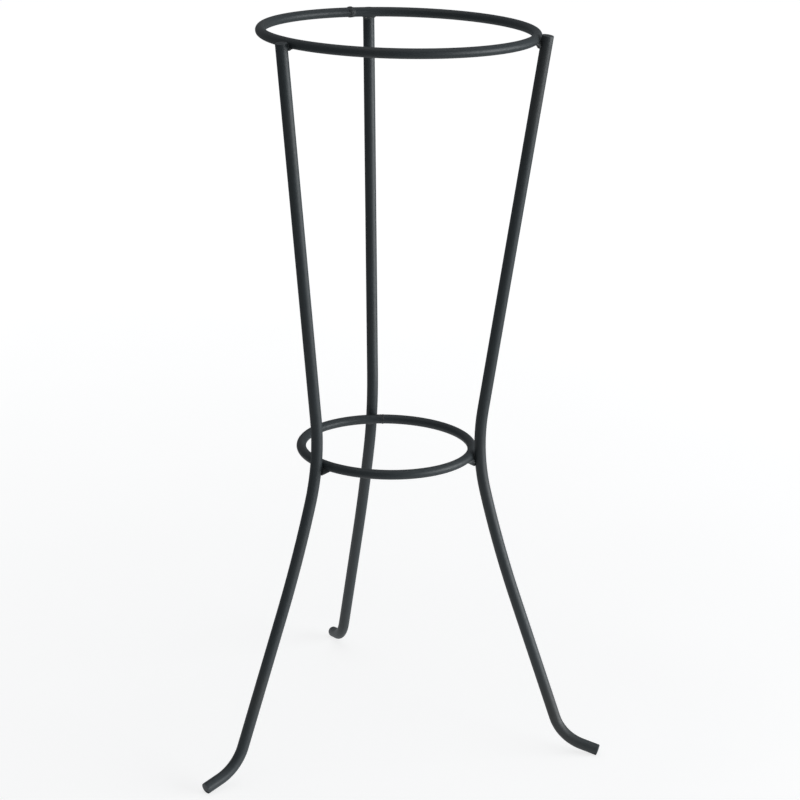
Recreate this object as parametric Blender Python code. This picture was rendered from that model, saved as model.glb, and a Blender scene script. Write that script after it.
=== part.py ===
"""Welded tripod stand of round steel bar: two level rings held by three bent legs.

Metres, +Z up. The stand is built round the axis of its upper ring, with the floor at z = 0, and then
carried by one empty so that the middle of its footprint lies at the world origin.
"""

import math
from collections import namedtuple

import bmesh
import bpy
from mathutils import Matrix, Vector

UP = Vector((0, 0, 1))
Ring = namedtuple("Ring", "centre radius seam seam_proud")
Place = namedtuple("Place", "azimuth sideways rise torch_side")

# Bar stock
RING_BAR = 0.010
LEG_BAR = 0.012
RING_SIDES = 12
LEG_SIDES = 16

# Gaps: between a bead and the bars it joins, and between two bars, whose facets reach past their round size
BEAD_GAP = 0.0003
BAR_GAP = 0.0005
STANDOFF = (RING_BAR + LEG_BAR) / 2 + BAR_GAP

# Rings. The lower one was tacked in by hand, a few millimetres off the upper one's axis.
UPPER_RING_RADIUS = 0.1375
UPPER_RING_HEIGHT = 0.7615
LOWER_RING_RADIUS = 0.090
LOWER_RING_HEIGHT = 0.325
LOWER_RING_SHIFT = (-0.0028, 0.0052)
RING_STEP = math.radians(5)
SEAM_GAP = 0.002
RINGS = {
    "upper": Ring(
        centre=Vector((0, 0, UPPER_RING_HEIGHT)),
        radius=UPPER_RING_RADIUS,
        seam=math.radians(112.4),
        seam_proud=0.0014,
    ),
    "lower": Ring(
        centre=Vector((*LOWER_RING_SHIFT, LOWER_RING_HEIGHT)),
        radius=LOWER_RING_RADIUS,
        seam=math.radians(93.5),
        seam_proud=0.0006,
    ),
}

# Legs, from the top down: a straight that leans in, a knee, a long shin, a foot bend and a straight toe
# that slopes down to its tip. A small flat under the tip rests on the floor.
KNEE_HEIGHT = 0.376
KNEE_RADIUS = 0.233
KNEE_ANGLE = math.radians(22.0)
CALF_RADIUS = 1.26
CALF_ANGLE = math.radians(5.5)
FOOT_RADIUS = 0.045
TOE_SLOPE = math.radians(15.7)
TOE_LENGTH = 0.019
TIP_FLAT_DEPTH = 0.0006
BEND_STEP = math.radians(5)
CALF_STEP = math.radians(1.8)
LEAN_RANGE = (math.radians(3), math.radians(12))
LEAN_HALVINGS = 30

# Where each leg stands: its azimuth, how far its plane misses the upper ring's axis, how far its top
# rises above that ring's centre line, and the side of it that the welds were laid from
LEGS = {
    "rear": Place(azimuth=math.radians(106.7), sideways=-0.0108, rise=0.0031, torch_side=1),
    "left": Place(azimuth=math.radians(221.4), sideways=0.0005, rise=0.0013, torch_side=1),
    "right": Place(azimuth=math.radians(347.2), sideways=-0.0002, rise=0.0048, torch_side=-1),
}

# Weld beads
BEAD_FACETS = 3
SEAM_BEAD_WIDTH = 0.0055
FILLET_REACH = 0.0085
FILLET_DEPTH = 0.0065
FILLET_DROP = 0.0055
FILLET_SHIFT = 0.0020

PAINT_COLOUR = (0.040, 0.044, 0.047, 1.0)
PAINT_ROUGHNESS = 0.42
WELD_COLOUR = (0.047, 0.050, 0.052, 1.0)
WELD_ROUGHNESS = 0.5
SHARP_ANGLE = math.radians(40)


def clear_scene():
    for old in list(bpy.data.objects):
        bpy.data.objects.remove(old, do_unlink=True)


def paint(name, colour, roughness):
    material = bpy.data.materials.new(name)
    material.use_nodes = True
    shader = material.node_tree.nodes["Principled BSDF"]
    shader.inputs["Base Color"].default_value = colour
    shader.inputs["Roughness"].default_value = roughness
    shader.inputs["Metallic"].default_value = 0.0
    return material


def add_object(name, mesh, colour=PAINT_COLOUR, roughness=PAINT_ROUGHNESS):
    mesh.shade_smooth()
    mesh.set_sharp_from_angle(angle=SHARP_ANGLE)
    mesh.materials.append(paint(name + "_paint", colour, roughness))
    body = bpy.data.objects.new(name, mesh)
    bpy.context.scene.collection.objects.link(body)
    return body


def polar(azimuth):
    """The outward and sideways directions at this azimuth."""
    outward = Vector((math.cos(azimuth), math.sin(azimuth), 0))
    return outward, UP.cross(outward)


def swept_bar(name, stations, side_axis, diameter, sides):
    """A round bar along (point, direction) stations in one plane, closed by a flat cut at each end.

    side_axis is that plane's normal. The bar's flats, not its corners, face along side_axis and
    across it, so that its diameter over flats is the bar's real diameter.
    """
    corner_radius = diameter / 2 / math.cos(math.pi / sides)
    bm = bmesh.new()
    loops = []
    for point, direction in stations:
        across = side_axis.cross(direction)
        loop = []
        for k in range(sides):
            turn = 2 * math.pi * (k + 0.5) / sides
            offset = side_axis * math.cos(turn) + across * math.sin(turn)
            loop.append(bm.verts.new(point + offset * corner_radius))
        loops.append(loop)
    for loop, following in zip(loops, loops[1:]):
        for k in range(sides):
            after = (k + 1) % sides
            bm.faces.new((loop[k], loop[after], following[after], following[k]))
    bm.faces.new(loops[0])
    bm.faces.new(loops[-1])
    bmesh.ops.recalc_face_normals(bm, faces=bm.faces)
    mesh = bpy.data.meshes.new(name)
    bm.to_mesh(mesh)
    bm.free()
    return mesh


def heading(angle):
    """Direction in a leg's plane, as (outward, up), at this angle inward from straight down."""
    return Vector((-math.sin(angle), -math.cos(angle)))


def bend(stations, radius, turn, step):
    """Adds an arc that turns the bar outward from the last station."""
    start, angle = stations[-1]
    steps = math.ceil(turn / step)
    for k in range(1, steps + 1):
        now = angle - turn * k / steps
        shift = Vector((math.cos(angle) - math.cos(now), math.sin(now) - math.sin(angle)))
        stations.append((start + shift * radius, now))


def straight(stations, length):
    point, angle = stations[-1]
    stations.append((point + heading(angle) * length, angle))


def leg_profile(place, lean):
    """Centreline of a leg in its own plane, as ((outward, height), angle) stations from the top down."""
    contact = UPPER_RING_RADIUS + STANDOFF / math.cos(lean)
    at_ring = math.sqrt(contact**2 - place.sideways**2)
    top = Vector((at_ring + place.rise * math.tan(lean), UPPER_RING_HEIGHT + place.rise))
    stations = [(top, lean)]
    straight(stations, (top.y - KNEE_HEIGHT) / math.cos(lean))
    bend(stations, KNEE_RADIUS, KNEE_ANGLE, BEND_STEP)
    bend(stations, CALF_RADIUS, CALF_ANGLE, CALF_STEP)
    shin_end, splay = stations[-1]
    foot_drop = FOOT_RADIUS * (math.cos(TOE_SLOPE) + math.sin(splay))
    toe_drop = TOE_LENGTH * math.sin(TOE_SLOPE)
    tip_drop = LEG_BAR / 2 * math.cos(TOE_SLOPE) - TIP_FLAT_DEPTH
    straight(stations, (shin_end.y - foot_drop - toe_drop - tip_drop) / math.cos(splay))
    bend(stations, FOOT_RADIUS, math.pi / 2 + splay - TOE_SLOPE, BEND_STEP)
    resting = TIP_FLAT_DEPTH / math.sin(TOE_SLOPE)
    straight(stations, TOE_LENGTH - resting)
    straight(stations, resting)
    return stations


def crossing(profile, height):
    """How far out the leg's centreline is at this height, and its angle there."""
    for (above, angle), (below, _) in zip(profile, profile[1:]):
        if above.y >= height >= below.y:
            share = (above.y - height) / (above.y - below.y)
            return above.lerp(below, share).x, angle
    raise ValueError("the leg doesn't pass this height")


def touching_profile(place, ring):
    """The leg's profile at the lean that brings it up against this ring as well as the upper one."""
    outward, side = polar(place.azimuth)
    off_plane = place.sideways - ring.centre.dot(side)
    shallow, steep = LEAN_RANGE
    for _ in range(LEAN_HALVINGS):
        lean = (shallow + steep) / 2
        profile = leg_profile(place, lean)
        reach, angle = crossing(profile, ring.centre.z)
        contact = ring.radius + STANDOFF / math.cos(angle)
        if reach > ring.centre.dot(outward) + math.sqrt(contact**2 - off_plane**2):
            shallow = lean
        else:
            steep = lean
    return profile


def leg_mesh(name, profile, place, grow=0.0):
    outward, side = polar(place.azimuth)
    stations = []
    for point, angle in profile:
        along = heading(angle)
        centre = outward * point.x + UP * point.y + side * place.sideways
        stations.append((centre, outward * along.x + UP * along.y))
    mesh = swept_bar(name, stations, side, LEG_BAR + 2 * grow, LEG_SIDES)
    for vertex in mesh.vertices:
        vertex.co.z = max(vertex.co.z, 0)
    return mesh


def ring_mesh(name, ring, grow=0.0):
    """A hoop from one side of its seam round to the other."""
    half_gap = (SEAM_GAP / 2 - grow) / ring.radius
    turn = 2 * (math.pi - half_gap)
    steps = round(turn / RING_STEP)
    stations = []
    for k in range(steps + 1):
        outward, along = polar(ring.seam + half_gap + turn * k / steps)
        stations.append((ring.centre + outward * ring.radius, along))
    return swept_bar(name, stations, UP, RING_BAR + 2 * grow, RING_SIDES)


def cutter(name, mesh):
    """A bar grown by the bead gap, which a weld bead is hollowed by. It isn't a piece itself."""
    body = add_object(name, mesh)
    body.hide_render = True
    body.display_type = "WIRE"
    return body


def weld_bead(name, centre, axes, sizes, cutters):
    """A rounded bead of weld metal with half sizes along three axes, hollowed by the bars it joins."""
    bm = bmesh.new()
    bmesh.ops.create_icosphere(bm, subdivisions=BEAD_FACETS, radius=1.0)
    shape = Matrix([axis * size for axis, size in zip(axes, sizes)]).transposed()
    bmesh.ops.transform(bm, matrix=Matrix.Translation(centre) @ shape.to_4x4(), verts=bm.verts)
    bmesh.ops.recalc_face_normals(bm, faces=bm.faces)
    mesh = bpy.data.meshes.new(name)
    bm.to_mesh(mesh)
    bm.free()
    bead = add_object(name, mesh, WELD_COLOUR, WELD_ROUGHNESS)
    for tool in cutters:
        cut = bead.modifiers.new("clear_" + tool.name, "BOOLEAN")
        cut.operation = "DIFFERENCE"
        cut.solver = "EXACT"
        cut.object = tool


def seam_bead(name, ring, ring_tool):
    """The butt weld that closes a hoop."""
    outward, along = polar(ring.seam)
    reach = RING_BAR / 2 + ring.seam_proud
    centre = ring.centre + outward * ring.radius
    weld_bead(name, centre, (along, outward, UP), (SEAM_BEAD_WIDTH / 2, reach, reach), [ring_tool])


def joint_bead(name, ring, place, profile, cutters):
    """The fillet under a ring where a leg crosses it, laid from one side."""
    leg_out, leg_side = polar(place.azimuth)
    reach, _ = crossing(profile, ring.centre.z)
    leg_centre = leg_out * reach + leg_side * place.sideways + UP * ring.centre.z
    outward = (leg_centre - ring.centre).normalized()
    along = UP.cross(outward)
    contact = ring.centre + outward * (ring.radius + RING_BAR / 2)
    centre = contact + along * place.torch_side * FILLET_SHIFT - UP * FILLET_DROP
    weld_bead(name, centre, (along, outward, UP), (FILLET_REACH, FILLET_DEPTH, FILLET_DROP), cutters)


def stand_on_origin(bars):
    """Hangs every object on one empty that puts the middle of the bars' footprint over the origin."""
    carrier = bpy.data.objects.new("stand_frame", None)
    bpy.context.scene.collection.objects.link(carrier)
    bpy.context.view_layer.update()
    corners = [bar.matrix_world @ Vector(c) for bar in bars for c in bar.bound_box]
    middle = [(min(c[k] for c in corners) + max(c[k] for c in corners)) / 2 for k in range(2)]
    for body in list(bpy.data.objects):
        if body is not carrier:
            body.parent = carrier
    carrier.location = (-middle[0], -middle[1], 0)


def main():
    clear_scene()
    bars = []
    ring_tools = {}
    for level, ring in RINGS.items():
        name = level + "_ring"
        bars.append(add_object(name, ring_mesh(name, ring)))
        ring_tools[level] = cutter(name + "_room", ring_mesh(name + "_room", ring, BEAD_GAP))
        seam_bead(name + "_seam_weld", ring, ring_tools[level])
    for side, place in LEGS.items():
        name = "leg_" + side
        profile = touching_profile(place, RINGS["lower"])
        bars.append(add_object(name, leg_mesh(name, profile, place)))
        leg_tool = cutter(name + "_room", leg_mesh(name + "_room", profile, place, BEAD_GAP))
        for level, ring in RINGS.items():
            tools = [ring_tools[level], leg_tool]
            joint_bead(f"{level}_{side}_joint_weld", ring, place, profile, tools)
    stand_on_origin(bars)


main()
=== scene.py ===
"""Looks for the welded tripod stand: smooth painted bars, lumpy welds, pale floor, soft light, camera.

Metres, +Z up. The bars and welds are built round the axis of the upper ring, whose place and bar
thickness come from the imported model, and every piece stands for the CAD node of the same name.
"""

import math
from collections import namedtuple

import bmesh
import bpy
from mathutils import Matrix, Vector, noise


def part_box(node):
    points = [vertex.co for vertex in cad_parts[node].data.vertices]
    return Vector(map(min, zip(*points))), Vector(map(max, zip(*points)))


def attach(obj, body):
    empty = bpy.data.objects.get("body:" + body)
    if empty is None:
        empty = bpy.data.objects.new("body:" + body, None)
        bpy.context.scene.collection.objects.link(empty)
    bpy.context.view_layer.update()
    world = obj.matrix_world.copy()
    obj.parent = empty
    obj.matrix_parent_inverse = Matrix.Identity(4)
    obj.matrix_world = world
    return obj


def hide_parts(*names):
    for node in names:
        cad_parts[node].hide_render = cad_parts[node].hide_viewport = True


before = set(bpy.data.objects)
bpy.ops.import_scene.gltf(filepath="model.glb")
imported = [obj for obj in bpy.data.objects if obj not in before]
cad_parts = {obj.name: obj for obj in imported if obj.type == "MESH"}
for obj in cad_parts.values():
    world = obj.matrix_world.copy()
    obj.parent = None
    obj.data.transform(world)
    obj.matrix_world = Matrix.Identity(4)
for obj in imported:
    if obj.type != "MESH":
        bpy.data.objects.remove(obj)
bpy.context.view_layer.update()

UP = Vector((0, 0, 1))
Ring = namedtuple("Ring", "centre radius bar seam")
Place = namedtuple("Place", "azimuth sideways rise torch_side")
Joint = namedtuple("Joint", "width height")

# Bars
BAR_SIDES = 48
RING_STATIONS = 240
LEG_BAR = 0.012
BAR_GAP = 0.0005

# The legs' bends, from the top down
KNEE_HEIGHT = 0.376
KNEE_RADIUS = 0.233
KNEE_ANGLE = math.radians(22.0)
CALF_RADIUS = 1.26
CALF_ANGLE = math.radians(5.5)
FOOT_RADIUS = 0.045
TOE_SLOPE = math.radians(15.7)
TOE_LENGTH = 0.019
TIP_FLAT_DEPTH = 0.0006
BEND_STEP = math.radians(2)
CALF_STEP = math.radians(0.5)
LEAN_PIECES = 40
SHIN_PIECES = 20
TOE_PIECES = 6
LEAN_RANGE = (math.radians(3), math.radians(12))
LEAN_HALVINGS = 30
LEGS = {
    "rear": Place(azimuth=math.radians(106.7), sideways=-0.0108, rise=0.0031, torch_side=1),
    "left": Place(azimuth=math.radians(221.4), sideways=0.0005, rise=0.0013, torch_side=1),
    "right": Place(azimuth=math.radians(347.2), sideways=-0.0002, rise=0.0048, torch_side=-1),
}

# A cut end, as (share of the bar's radius, distance past the cut): a small broken edge, then a slight crown
CUT_END = ((1.0, -0.0009), (0.985, -0.0004), (0.94, -0.0001), (0.88, 0.0), (0.6, 0.00025), (0.3, 0.0004))
WORN_LOOPS = 4

# Seams of the two hoops: azimuth, half width of the bead, how far it stands proud of the bar, and how far
# a thin lip at its right edge does
Seam = namedtuple("Seam", "azimuth half_width proud lip")
SEAMS = {
    "upper": Seam(azimuth=math.radians(111.6), half_width=0.0040, proud=0.0011, lip=0.0004),
    "lower": Seam(azimuth=math.radians(94.3), half_width=0.0022, proud=0.0003, lip=0.0008),
}

# Fillets under the rings: how far each runs out along the ring and down the leg from their corner
JOINTS = {
    "upper_rear": Joint(width=0.0045, height=0.0050),
    "upper_left": Joint(width=0.0010, height=0.0018),
    "upper_right": Joint(width=0.0030, height=0.0046),
    "lower_rear": Joint(width=0.0042, height=0.0040),
    "lower_left": Joint(width=0.0054, height=0.0050),
    "lower_right": Joint(width=0.0080, height=0.0056),
}

# A fillet is a skin stretched over three balls: a core in the corner, a toe out along the ring and a toe down
# the leg. Its core is a share of the fillet's height, and the lift a share of the core. Sides and outs are
# shares of the leg bar's radius. Drops and the ring toe's tuck are shares of the ring bar's radius, and the
# under lumps' drop is a share of the lump. Values under 0.01 are metres.
FILLET_CORE = 0.52
FILLET_TOE = 0.0013
CORE_SIDE = 0.6
CORE_DROP = 1.1
CORE_LIFT = 0.5
CORE_TUCK = 0.0005
RING_TOE_DROP = 0.95
RING_TOE_TUCK = 0.6
LEG_TOE_SIDE = 0.47
LEG_TOE_OUT = 0.2

# Lumps that close the crack between the bars, as (first place, step to the next)
CRACK_LUMPS = 4
CRACK_LUMP = 0.0014
CRACK_SIDE = (0.35, 0.1)
CRACK_DROP = (0.1, 0.3)
CRACK_OUT = 0.0002

# Lumps under the ring, from the core to the far flank of the leg, smaller as they go
UNDER_LUMPS = 6
UNDER_SIDE = (0.75, -1.55)
UNDER_SHRINK = 0.3
UNDER_DROP = 0.3
UNDER_WAVE = 0.0003
UNDER_WAVES = 7
UNDER_TUCK = 0.0004
UNDER_NARROW = 0.95

# A seam's band of weld metal, made of lumps round the bar, and the thin lip at its right edge
SEAM_LUMPS = 14
SEAM_LUMP = 0.0022
SEAM_WAVES = 5
SEAM_UNEVEN = 0.25
SEAM_WANDER = 0.2
LIP_PLACE = 0.85
LIP_SIZE = (0.0006, 0.0012, 0.0018)

# Weld metal's skin: lumps are fused and eased, then roughened by two sizes of noise
WELD_VOXEL = 0.00045
WELD_EASING = 8
WELD_NOISE = ((420, 0.6), (1100, 0.4))
SEAM_ROUGHNESS = 0.00025
JOINT_ROUGHNESS = 0.0002

# Paint. Colours are linear, scales are per metre, and a range is (low, high, value at low, value at high).
Paint = namedtuple("Paint", "name dark light worn roughness peel flecks")
BAR_PAINT = Paint(
    name="satin_anthracite",
    dark=(0.029, 0.0365, 0.0400, 1),
    light=(0.041, 0.0505, 0.0550, 1),
    worn=(0.098, 0.108, 0.114, 1),
    roughness=0.50,
    peel=0.00005,
    flecks=False,
)
WELD_PAINT = Paint(
    name="satin_anthracite_weld",
    dark=(0.030, 0.035, 0.037, 1),
    light=(0.046, 0.052, 0.054, 1),
    worn=(0.11, 0.116, 0.118, 1),
    roughness=0.52,
    peel=0.00010,
    flecks=False,
)
# Weld paint with painted glints: light specks, meant as bare metal under thin paint, which also stand in for
# glints of light on the welds
GLINT_FLECKED_WELD_PAINT = WELD_PAINT._replace(name="glint_flecked_weld", flecks=True)
WARM_PATCH = (0.050, 0.047, 0.042, 1)
# Colour of those specks, a painted glint as well as bare metal
GLINT_AND_BARE_FLECK = (0.42, 0.42, 0.36, 1)
DRIFT_SCALE = 14
MOTTLE_SCALE = 420
GRAIN_SCALE = 1500
GRAIN_STRETCH = (1, 1, 0.05)
PEEL_SCALE = 850
WARM_SCALE = 8
GLINT_FLECK_SCALE = 1300
TONE_RANGE = (0.3, 0.7, 0, 1)
WARM_RANGE = (0.52, 0.7, 0, 0.4)
UPWARD_DUST = (0.55, 1.0, 0, 0.35)
DUST_BREAKUP = (0.4, 0.65, 0, 1)
WEAR_BREAKUP = (0.35, 0.6, 0.15, 0.9)
GLINT_FLECK_RANGE = (0.68, 0.72, 0, 1)
ROUGHNESS_SPREAD = (-0.05, 0.06)
GRAIN_ROUGHNESS = 0.10
DUST_ROUGHNESS = 0.2
GRAIN_HEIGHT = 0.25

# The floor, which glows a little more with distance, and the wall round it
FLOOR_SIZE = 14
FLOOR_SEGMENTS = 24
FLOOR_TONES = ((0.36, 0.36, 0.36, 1), (0.40, 0.40, 0.40, 1))
FLOOR_TONE_SCALE = 3
FLOOR_GLOW = (0.3, 2.5, 0.77, 0.92)
BACKDROP_RADIUS = 12
BACKDROP_CURVE = 2.5
BACKDROP_HEIGHT = 9
BACKDROP_STEPS = 12
BACKDROP_SIDES = 96
BACKDROP_TONE = (0.05, 0.05, 0.05, 1)
BACKDROP_GLOW = 0.97
MATT = 0.9

# Lights. The bounce is light that comes back up off the floor, which the bars can't see for themselves.
Softbox = namedtuple("Softbox", "name place target size power tint")
WHITE = (1, 1, 1)
SOFTBOXES = (
    Softbox("key_right", (3.4, -0.8, 0.6), (0, 0, 0.35), (3.4, 1.5), 118, (0.95, 0.98, 1.0)),
    Softbox("top", (0, 0.2, 4.2), (0, 0, 0), (4.5, 4.5), 32, WHITE),
    Softbox("floor_bounce", (0, 0.1, 0.002), (0, 0.1, 1), (1.3, 1.3), 2.2, WHITE),
)
WORLD_TINT = (0.9, 0.95, 1.0, 1)
WORLD_STRENGTH = 0.20

# Camera, from the upper ring's centre
CAMERA_OFFSET = Vector((0, -2.2195, 0.331))
CAMERA_YAW = math.radians(0.257)
CAMERA_PITCH = math.radians(17.85)
CAMERA_ROLL = math.radians(1.38)
CAMERA_LENS = 100.48
SENSOR = 36.0


def polar(azimuth):
    outward = Vector((math.cos(azimuth), math.sin(azimuth), 0))
    return outward, UP.cross(outward)


def box_centre(node):
    low, high = (Vector(corner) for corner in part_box(node))
    return (low + high) / 2, high - low


def ring_from_box(level):
    centre, size = box_centre(level + "_ring")
    return Ring(centre=centre, radius=(size.x - size.z) / 2, bar=size.z, seam=SEAMS[level])


def heading(angle):
    return Vector((-math.sin(angle), -math.cos(angle)))


def bend(stations, radius, turn, step):
    start, angle = stations[-1]
    steps = math.ceil(turn / step)
    for k in range(1, steps + 1):
        now = angle - turn * k / steps
        shift = Vector((math.cos(angle) - math.cos(now), math.sin(now) - math.sin(angle)))
        stations.append((start + shift * radius, now))


def straight(stations, length, pieces):
    point, angle = stations[-1]
    for k in range(1, pieces + 1):
        stations.append((point + heading(angle) * length * k / pieces, angle))


def leg_profile(place, lean, ring):
    contact = ring.radius + standoff(ring) / math.cos(lean)
    at_ring = math.sqrt(contact**2 - place.sideways**2)
    top = Vector((at_ring + place.rise * math.tan(lean), ring.centre.z + place.rise))
    stations = [(top, lean)]
    straight(stations, (top.y - KNEE_HEIGHT) / math.cos(lean), LEAN_PIECES)
    bend(stations, KNEE_RADIUS, KNEE_ANGLE, BEND_STEP)
    bend(stations, CALF_RADIUS, CALF_ANGLE, CALF_STEP)
    shin_end, splay = stations[-1]
    foot_drop = FOOT_RADIUS * (math.cos(TOE_SLOPE) + math.sin(splay))
    toe_drop = TOE_LENGTH * math.sin(TOE_SLOPE)
    tip_drop = LEG_BAR / 2 * math.cos(TOE_SLOPE) - TIP_FLAT_DEPTH
    straight(stations, (shin_end.y - foot_drop - toe_drop - tip_drop) / math.cos(splay), SHIN_PIECES)
    bend(stations, FOOT_RADIUS, math.pi / 2 + splay - TOE_SLOPE, BEND_STEP)
    straight(stations, TOE_LENGTH, TOE_PIECES)
    return stations


def standoff(ring):
    return (ring.bar + LEG_BAR) / 2 + BAR_GAP


def crossing(profile, height):
    for (above, angle), (below, _) in zip(profile, profile[1:]):
        if above.y >= height >= below.y:
            share = (above.y - height) / (above.y - below.y)
            return above.lerp(below, share).x, angle
    raise ValueError("the leg doesn't pass this height")


def touching_profile(place, upper, lower):
    outward, side = polar(place.azimuth)
    offset = lower.centre - upper.centre
    off_plane = place.sideways - offset.dot(side)
    shallow, steep = LEAN_RANGE
    for _ in range(LEAN_HALVINGS):
        lean = (shallow + steep) / 2
        profile = leg_profile(place, lean, upper)
        reach, angle = crossing(profile, lower.centre.z)
        contact = lower.radius + standoff(lower) / math.cos(angle)
        if reach > offset.dot(outward) + math.sqrt(contact**2 - off_plane**2):
            shallow = lean
        else:
            steep = lean
    return profile


def bar_loop(bm, layers, point, direction, side_axis, radius, along, wear):
    """One loop of vertices round a bar, which also notes where each lies round and along the bar."""
    across = side_axis.cross(direction)
    loop = []
    for k in range(BAR_SIDES):
        turn = 2 * math.pi * k / BAR_SIDES
        offset = (side_axis * math.cos(turn) + across * math.sin(turn)) * radius
        vertex = bm.verts.new(point + offset)
        vertex[layers[0]] = Vector((math.cos(turn) * radius, math.sin(turn) * radius, along))
        vertex[layers[1]] = wear
        loop.append(vertex)
    return loop


def bridge(bm, loops):
    for loop, following in zip(loops, loops[1:]):
        for k in range(BAR_SIDES):
            after = (k + 1) % BAR_SIDES
            bm.faces.new((loop[k], loop[after], following[after], following[k]))


def cut_end(bm, layers, station, side_axis, radius, sign, along):
    """Loops from the bar's side onto its cut face, which is closed at its middle."""
    point, direction = station
    loops = []
    for number, (share, past) in enumerate(CUT_END):
        centre = point + direction * sign * past
        wear = 1 if 0 < number < WORN_LOOPS else 0
        place = along + sign * past
        loops.append(bar_loop(bm, layers, centre, direction, side_axis, radius * share, place, wear))
    rim = loops[-1]
    middle = bm.verts.new(point + direction * sign * CUT_END[-1][1])
    for k in range(BAR_SIDES):
        bm.faces.new((rim[k], rim[(k + 1) % BAR_SIDES], middle))
    return loops


def bar_mesh(name, stations, side_axis, diameter, closed):
    """A round bar along (point, direction) stations: a closed hoop, or a length with two cut ends."""
    bm = bmesh.new()
    layers = (bm.verts.layers.float_vector.new("bar_space"), bm.verts.layers.float.new("end_wear"))
    radius = diameter / 2
    travelled = [0]
    for (before, _), (point, _) in zip(stations, stations[1:]):
        travelled.append(travelled[-1] + (point - before).length)
    inner = list(zip(stations, travelled))
    if not closed:
        inner = inner[1:-1]
    loops = [
        bar_loop(bm, layers, point, direction, side_axis, radius, along, 0)
        for (point, direction), along in inner
    ]
    if closed:
        loops.append(loops[0])
    else:
        first = cut_end(bm, layers, stations[0], side_axis, radius, -1, 0)
        last = cut_end(bm, layers, stations[-1], side_axis, radius, 1, travelled[-1])
        loops = first[::-1] + loops + last
    bridge(bm, loops)
    bmesh.ops.recalc_face_normals(bm, faces=bm.faces)
    mesh = bpy.data.meshes.new(name)
    bm.to_mesh(mesh)
    bm.free()
    mesh.shade_smooth()
    return mesh


def ring_mesh(name, ring):
    stations = []
    for k in range(RING_STATIONS):
        outward, along = polar(ring.seam.azimuth + 2 * math.pi * k / RING_STATIONS)
        stations.append((ring.centre + outward * ring.radius, along))
    return bar_mesh(name, stations, UP, ring.bar, True)


def leg_mesh(name, profile, place, axis):
    """A leg's bar. Its lower edge at the tip is pressed flat where it would pass through the floor."""
    outward, side = polar(place.azimuth)
    stations = []
    for point, angle in profile:
        along = heading(angle)
        centre = axis + outward * point.x + UP * point.y + side * place.sideways
        stations.append((centre, outward * along.x + UP * along.y))
    mesh = bar_mesh(name, stations, side, LEG_BAR, False)
    for vertex in mesh.vertices:
        vertex.co.z = max(vertex.co.z, 0)
    return mesh


def stretch_web(bm, web):
    """Adds the skin stretched over a few balls, given as (centre, radius)."""
    skin = bmesh.new()
    for centre, radius in web:
        bmesh.ops.create_icosphere(skin, subdivisions=2, radius=radius, matrix=Matrix.Translation(centre))
    points = [vertex.co.copy() for vertex in skin.verts]
    skin.clear()
    for point in points:
        skin.verts.new(point)
    hull = bmesh.ops.convex_hull(skin, input=skin.verts[:])
    spare = [part for part in hull["geom_interior"] if isinstance(part, bmesh.types.BMVert)]
    bmesh.ops.delete(skin, geom=spare, context="VERTS")
    mesh = bpy.data.meshes.new("web")
    skin.to_mesh(mesh)
    skin.free()
    bm.from_mesh(mesh)
    bpy.data.meshes.remove(mesh)


def lumps_mesh(name, lumps, webs, roughness):
    """Weld metal: rounded lumps, and webs stretched over balls, fused into one bead with an uneven skin.

    A lump is (centre, axes, sizes), and a web is a list of balls as (centre, radius).
    """
    bm = bmesh.new()
    for centre, axes, sizes in lumps:
        made = bmesh.ops.create_icosphere(bm, subdivisions=3, radius=1.0)
        shape = Matrix([axis * size for axis, size in zip(axes, sizes)]).transposed()
        move = Matrix.Translation(centre) @ shape.to_4x4()
        bmesh.ops.transform(bm, matrix=move, verts=made["verts"])
    for web in webs:
        stretch_web(bm, web)
    bmesh.ops.recalc_face_normals(bm, faces=bm.faces)
    mesh = bpy.data.meshes.new(name)
    bm.to_mesh(mesh)
    bm.free()
    rough = bpy.data.objects.new(name + "_rough", mesh)
    bpy.context.scene.collection.objects.link(rough)
    fuse = rough.modifiers.new("fuse", "REMESH")
    fuse.mode = "VOXEL"
    fuse.voxel_size = WELD_VOXEL
    ease = rough.modifiers.new("ease", "SMOOTH")
    ease.iterations = WELD_EASING
    ease.factor = 0.5
    bpy.context.view_layer.update()
    result = bpy.data.meshes.new_from_object(rough.evaluated_get(bpy.context.evaluated_depsgraph_get()))
    bpy.data.objects.remove(rough, do_unlink=True)
    result.name = name
    for vertex in result.vertices:
        swell = sum(noise.noise(vertex.co * scale) * share for scale, share in WELD_NOISE)
        vertex.co += vertex.normal * swell * roughness
    result.shade_smooth()
    return result


def seam_lumps(ring):
    """A butt weld: a low band of weld metal round the bar, uneven in width and height."""
    outward, along = polar(ring.seam.azimuth)
    centre = ring.centre + outward * ring.radius
    half_width = ring.seam.half_width
    surface = ring.bar / 2
    lumps = []
    for k in range(SEAM_LUMPS):
        turn = 2 * math.pi * k / SEAM_LUMPS
        radial = outward * math.cos(turn) + UP * math.sin(turn)
        axes = (along, radial, radial.cross(along))
        wander = math.sin(SEAM_WAVES * turn + 1)
        out = surface + ring.seam.proud * (1 - SEAM_UNEVEN + SEAM_UNEVEN * wander) - SEAM_LUMP
        place = centre + radial * out + along * half_width * SEAM_WANDER * wander
        lumps.append((place, axes, (half_width, SEAM_LUMP, SEAM_LUMP)))
        lip = centre + radial * (surface + ring.seam.lip - LIP_SIZE[1]) - along * half_width * LIP_PLACE
        lumps.append((lip, axes, LIP_SIZE))
    return lumps


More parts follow.
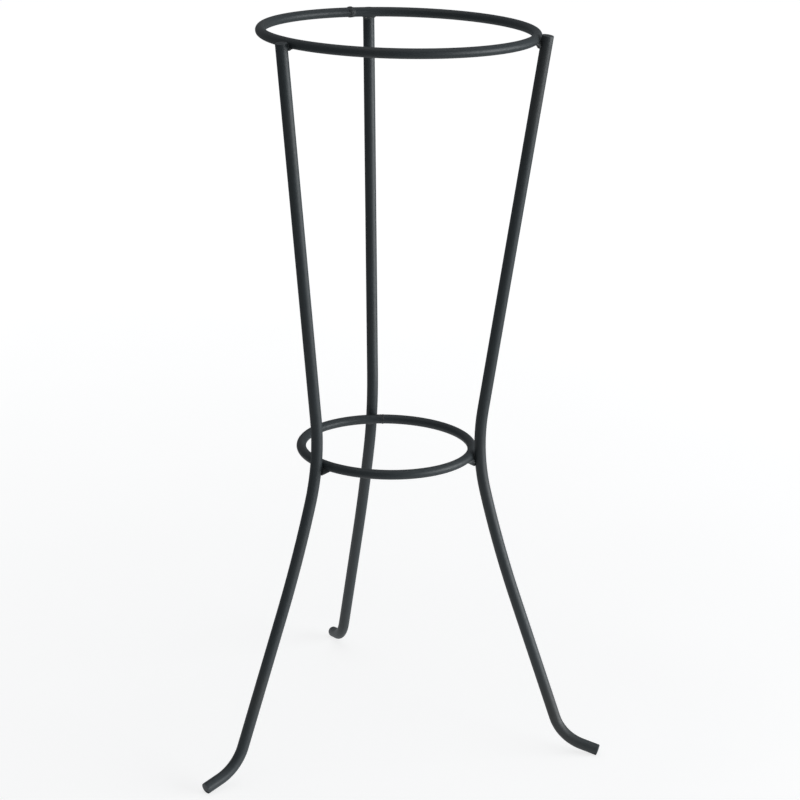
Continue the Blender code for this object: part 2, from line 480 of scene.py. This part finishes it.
def joint_lumps(ring, place, profile, axis, joint):
    """A fillet in the corner between a ring's underside and a leg's flank, with the wedge behind it.

    Returns the lumps and the web's balls, for lumps_mesh.
    """
    leg_out, leg_side = polar(place.azimuth)
    reach, _ = crossing(profile, ring.centre.z)
    leg_centre = axis + leg_out * reach + leg_side * place.sideways + UP * ring.centre.z
    outward = leg_centre - ring.centre
    outward.z = 0
    outward.normalize()
    along = UP.cross(outward) * place.torch_side
    contact = ring.centre + outward * (ring.radius + ring.bar / 2)
    leg_radius = LEG_BAR / 2
    bar_radius = ring.bar / 2
    axes = (along, outward, UP)
    core = joint.height * FILLET_CORE

    def spot(side, out, down):
        return contact + along * side + outward * out - UP * down

    web = [
        (spot(leg_radius * CORE_SIDE, -CORE_TUCK, bar_radius * CORE_DROP - core * CORE_LIFT), core),
        (
            spot(
                leg_radius + joint.width - FILLET_TOE,
                -bar_radius * RING_TOE_TUCK,
                bar_radius * RING_TOE_DROP - FILLET_TOE,
            ),
            FILLET_TOE,
        ),
        (
            spot(leg_radius * LEG_TOE_SIDE, leg_radius * LEG_TOE_OUT, bar_radius + joint.height - FILLET_TOE),
            FILLET_TOE,
        ),
    ]
    lumps = []
    for k in range(CRACK_LUMPS):
        side = leg_radius * (CRACK_SIDE[0] + CRACK_SIDE[1] * k)
        down = bar_radius * (CRACK_DROP[0] + CRACK_DROP[1] * k)
        lumps.append((spot(side, CRACK_OUT, down), axes, (CRACK_LUMP, CRACK_LUMP, CRACK_LUMP)))
    for k in range(UNDER_LUMPS):
        share = k / (UNDER_LUMPS - 1)
        side = leg_radius * (UNDER_SIDE[0] + UNDER_SIDE[1] * share)
        size = core * (1.0 - UNDER_SHRINK * share)
        wave = UNDER_WAVE * math.sin(UNDER_WAVES * share)
        down = bar_radius + size * UNDER_DROP * (1 - share) + wave
        lumps.append((spot(side, -UNDER_TUCK, down), axes, (size * UNDER_NARROW, size, size)))
    return lumps, web


class Nodes:
    """Short ways to add and join shader nodes."""

    def __init__(self, material):
        material.use_nodes = True
        self.tree = material.node_tree
        self.shader = self.tree.nodes["Principled BSDF"]

    def add(self, kind, **settings):
        node = self.tree.nodes.new("ShaderNode" + kind)
        for key, value in settings.items():
            setattr(node, key, value)
        return node

    def join(self, source, target):
        self.tree.links.new(source, target)

    def noise(self, vector, scale, detail=3, roughness=0.5):
        node = self.add("TexNoise")
        node.inputs["Scale"].default_value = scale
        node.inputs["Detail"].default_value = detail
        node.inputs["Roughness"].default_value = roughness
        self.join(vector, node.inputs["Vector"])
        return node.outputs["Fac"]

    def spread(self, value, low, high, to_low, to_high):
        node = self.add("MapRange")
        for key, number in (("From Min", low), ("From Max", high), ("To Min", to_low), ("To Max", to_high)):
            node.inputs[key].default_value = number
        self.join(value, node.inputs["Value"])
        return node.outputs["Result"]

    def mix(self, factor, first, second):
        node = self.add("Mix", data_type="RGBA")
        for socket, value in ((node.inputs[0], factor), (node.inputs[6], first), (node.inputs[7], second)):
            if isinstance(value, (tuple, float)):
                socket.default_value = value
            else:
                self.join(value, socket)
        return node.outputs[2]

    def maths(self, operation, first, second):
        node = self.add("Math", operation=operation)
        for socket, value in ((node.inputs[0], first), (node.inputs[1], second)):
            if isinstance(value, (int, float)):
                socket.default_value = value
            else:
                self.join(value, socket)
        return node.outputs[0]


def paint_colour(nodes, paint, place, mottle, dust):
    """Drifting tone, warm patches, dust on upward faces, worn cut edges and, on the flecked weld paint, light
    specks that are painted glints as well as bare metal.
    """
    drift = nodes.noise(place, DRIFT_SCALE, 2)
    tone = nodes.maths("ADD", nodes.maths("MULTIPLY", drift, 0.5), nodes.maths("MULTIPLY", mottle, 0.5))
    colour = nodes.mix(nodes.spread(tone, *TONE_RANGE), paint.dark, paint.light)
    warm = nodes.spread(nodes.noise(place, WARM_SCALE, 1), *WARM_RANGE)
    colour = nodes.mix(warm, colour, WARM_PATCH)
    colour = nodes.mix(dust, colour, paint.worn)
    cut_edge = nodes.add("Attribute", attribute_name="end_wear").outputs["Fac"]
    wear = nodes.maths("MULTIPLY", cut_edge, nodes.spread(mottle, *WEAR_BREAKUP))
    colour = nodes.mix(wear, colour, paint.worn)
    # Painted glints: sparse light specks, partly bare metal and partly standing in for glints of light
    if paint.flecks:
        glint_fleck = nodes.spread(nodes.noise(place, GLINT_FLECK_SCALE, 1), *GLINT_FLECK_RANGE)
        colour = nodes.mix(glint_fleck, colour, GLINT_AND_BARE_FLECK)
    return colour


def dust_share(nodes, mottle):
    """How dusty each point is: more on faces that look up, broken up by the mottle."""
    facing = nodes.add("SeparateXYZ")
    nodes.join(nodes.add("NewGeometry").outputs["Normal"], facing.inputs[0])
    upward = nodes.spread(facing.outputs["Z"], *UPWARD_DUST)
    return nodes.maths("MULTIPLY", upward, nodes.spread(mottle, *DUST_BREAKUP))


def bar_grain(nodes):
    """Fine streaks along the bar, left by drawing it through a die."""
    stretch = nodes.add("Mapping")
    stretch.inputs["Scale"].default_value = GRAIN_STRETCH
    bar_space = nodes.add("Attribute", attribute_name="bar_space").outputs["Vector"]
    nodes.join(bar_space, stretch.inputs["Vector"])
    return nodes.noise(stretch.outputs["Vector"], GRAIN_SCALE, 3)


def paint_material(paint):
    """Satin anthracite paint over bar or weld metal, with orange peel and drawn-bar grain."""
    material = bpy.data.materials.new(paint.name)
    nodes = Nodes(material)
    place = nodes.add("TexCoord").outputs["Object"]
    mottle = nodes.noise(place, MOTTLE_SCALE, 4, 0.6)
    grain = bar_grain(nodes)
    dust = dust_share(nodes, mottle)
    nodes.join(paint_colour(nodes, paint, place, mottle, dust), nodes.shader.inputs["Base Color"])

    smoother, rougher = (paint.roughness + change for change in ROUGHNESS_SPREAD)
    rough = nodes.spread(mottle, TONE_RANGE[0], TONE_RANGE[1], smoother, rougher)
    streak = nodes.maths("MULTIPLY", nodes.maths("ADD", grain, -0.5), GRAIN_ROUGHNESS)
    rough = nodes.maths("ADD", rough, streak)
    rough = nodes.maths("ADD", rough, nodes.maths("MULTIPLY", dust, DUST_ROUGHNESS))
    nodes.join(rough, nodes.shader.inputs["Roughness"])

    peel = nodes.maths("MULTIPLY", nodes.noise(place, PEEL_SCALE, 2), paint.peel)
    height = nodes.maths("ADD", peel, nodes.maths("MULTIPLY", grain, GRAIN_HEIGHT * paint.peel))
    bump = nodes.add("Bump")
    bump.inputs["Strength"].default_value = 1.0
    bump.inputs["Distance"].default_value = 1.0
    nodes.join(height, bump.inputs["Height"])
    nodes.join(bump.outputs["Normal"], nodes.shader.inputs["Normal"])
    return material


def add_piece(name, mesh, material):
    mesh.materials.clear()
    mesh.materials.append(material)
    piece = bpy.data.objects.new(name + "_paint", mesh)
    bpy.context.scene.collection.objects.link(piece)
    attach(piece, "root")
    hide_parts(name)


def build_stand():
    """Makes every bar and weld, and returns the upper ring's centre."""
    bar_paint = paint_material(BAR_PAINT)
    weld_paint = paint_material(WELD_PAINT)
    glint_flecked_weld_paint = paint_material(GLINT_FLECKED_WELD_PAINT)
    rings = {level: ring_from_box(level) for level in SEAMS}
    axis = rings["upper"].centre.copy()
    axis.z = 0
    for level, ring in rings.items():
        name = level + "_ring"
        add_piece(name, ring_mesh(name, ring), bar_paint)
        seam = name + "_seam_weld"
        bead = lumps_mesh(seam, seam_lumps(ring), [], SEAM_ROUGHNESS)
        add_piece(seam, bead, glint_flecked_weld_paint)
    for side, place in LEGS.items():
        profile = touching_profile(place, rings["upper"], rings["lower"])
        name = "leg_" + side
        add_piece(name, leg_mesh(name, profile, place, axis), bar_paint)
        # The rear joints take the weld paint with painted glints
        joint_paint = glint_flecked_weld_paint if side == "rear" else weld_paint
        for level, ring in rings.items():
            joint = f"{level}_{side}"
            name = joint + "_joint_weld"
            lumps, web = joint_lumps(ring, place, profile, axis, JOINTS[joint])
            bead = lumps_mesh(name, lumps, [web], JOINT_ROUGHNESS)
            add_piece(name, bead, joint_paint)
    return rings["upper"].centre


def matt_material(name):
    """A matt material that glows white. Returns it with its nodes."""
    material = bpy.data.materials.new(name)
    nodes = Nodes(material)
    nodes.shader.inputs["Roughness"].default_value = MATT
    nodes.shader.inputs["Specular IOR Level"].default_value = 0.0
    nodes.shader.inputs["Emission Color"].default_value = (1, 1, 1, 1)
    return material, nodes


def add_stage(name, bm, material):
    """Adds part of the studio, which the camera sees but which throws no light onto the stand."""
    mesh = bpy.data.meshes.new(name)
    bm.to_mesh(mesh)
    bm.free()
    mesh.materials.append(material)
    piece = bpy.data.objects.new(name, mesh)
    bpy.context.scene.collection.objects.link(piece)
    piece.visible_diffuse = False
    piece.visible_glossy = False
    return piece


def build_floor():
    """A wide pale floor, like a lit white sweep."""
    bm = bmesh.new()
    bmesh.ops.create_grid(bm, x_segments=FLOOR_SEGMENTS, y_segments=FLOOR_SEGMENTS, size=FLOOR_SIZE)
    material, nodes = matt_material("pale_floor")
    place = nodes.add("TexCoord").outputs["Object"]
    tone = nodes.noise(place, FLOOR_TONE_SCALE, 2)
    nodes.join(nodes.mix(tone, *FLOOR_TONES), nodes.shader.inputs["Base Color"])
    away = nodes.add("VectorMath", operation="LENGTH")
    nodes.join(place, away.inputs[0])
    glow = nodes.spread(away.outputs["Value"], *FLOOR_GLOW)
    nodes.join(glow, nodes.shader.inputs["Emission Strength"])
    add_stage("floor", bm, material)


def build_backdrop():
    """A pale wall all round, far outside the lights, that curves up out of the floor."""
    start = BACKDROP_RADIUS - BACKDROP_CURVE
    profile = []
    for step in range(BACKDROP_STEPS + 1):
        turn = math.pi / 2 * step / BACKDROP_STEPS
        profile.append((start + BACKDROP_CURVE * math.sin(turn), BACKDROP_CURVE * (1 - math.cos(turn))))
    profile.append((BACKDROP_RADIUS, BACKDROP_HEIGHT))
    bm = bmesh.new()
    corners = [bm.verts.new((radius, 0, height)) for radius, height in profile]
    edges = [bm.edges.new(pair) for pair in zip(corners, corners[1:])]
    bmesh.ops.spin(
        bm,
        geom=corners + edges,
        axis=UP,
        cent=(0, 0, 0),
        angle=2 * math.pi,
        steps=BACKDROP_SIDES,
        use_merge=True,
    )
    material, nodes = matt_material("pale_backdrop")
    nodes.shader.inputs["Base Color"].default_value = BACKDROP_TONE
    nodes.shader.inputs["Emission Strength"].default_value = BACKDROP_GLOW
    backdrop = add_stage("backdrop", bm, material)
    backdrop.visible_shadow = False


def add_softbox(softbox):
    light = bpy.data.lights.new(softbox.name, "AREA")
    light.shape = "RECTANGLE"
    light.size, light.size_y = softbox.size
    light.energy = softbox.power
    light.color = softbox.tint
    lamp = bpy.data.objects.new(softbox.name, light)
    bpy.context.scene.collection.objects.link(lamp)
    lamp.location = softbox.place
    lamp.visible_camera = False
    aim = Vector(softbox.target) - Vector(softbox.place)
    lamp.rotation_euler = aim.to_track_quat("-Z", "Y").to_euler()


def light_stage():
    for softbox in SOFTBOXES:
        add_softbox(softbox)
    world = bpy.data.worlds.new("studio")
    world.use_nodes = True
    background = world.node_tree.nodes["Background"]
    background.inputs["Color"].default_value = WORLD_TINT
    background.inputs["Strength"].default_value = WORLD_STRENGTH
    bpy.context.scene.world = world
    bpy.context.scene.view_settings.view_transform = "Standard"


def add_camera(ring_centre):
    forward = Vector((
        math.sin(CAMERA_YAW) * math.cos(CAMERA_PITCH),
        math.cos(CAMERA_YAW) * math.cos(CAMERA_PITCH),
        -math.sin(CAMERA_PITCH),
    ))
    level_right = Vector((math.cos(CAMERA_YAW), -math.sin(CAMERA_YAW), 0))
    level_up = level_right.cross(forward)
    right = level_right * math.cos(CAMERA_ROLL) + level_up * math.sin(CAMERA_ROLL)
    up = level_up * math.cos(CAMERA_ROLL) - level_right * math.sin(CAMERA_ROLL)
    data = bpy.data.cameras.new("camera")
    data.lens = CAMERA_LENS
    data.sensor_width = SENSOR
    camera = bpy.data.objects.new("camera", data)
    bpy.context.scene.collection.objects.link(camera)
    turn = Matrix((right, up, -forward)).transposed().to_4x4()
    camera.matrix_world = Matrix.Translation(ring_centre + CAMERA_OFFSET) @ turn
    bpy.context.scene.camera = camera


ring_centre = build_stand()
build_floor()
build_backdrop()
light_stage()
add_camera(ring_centre)
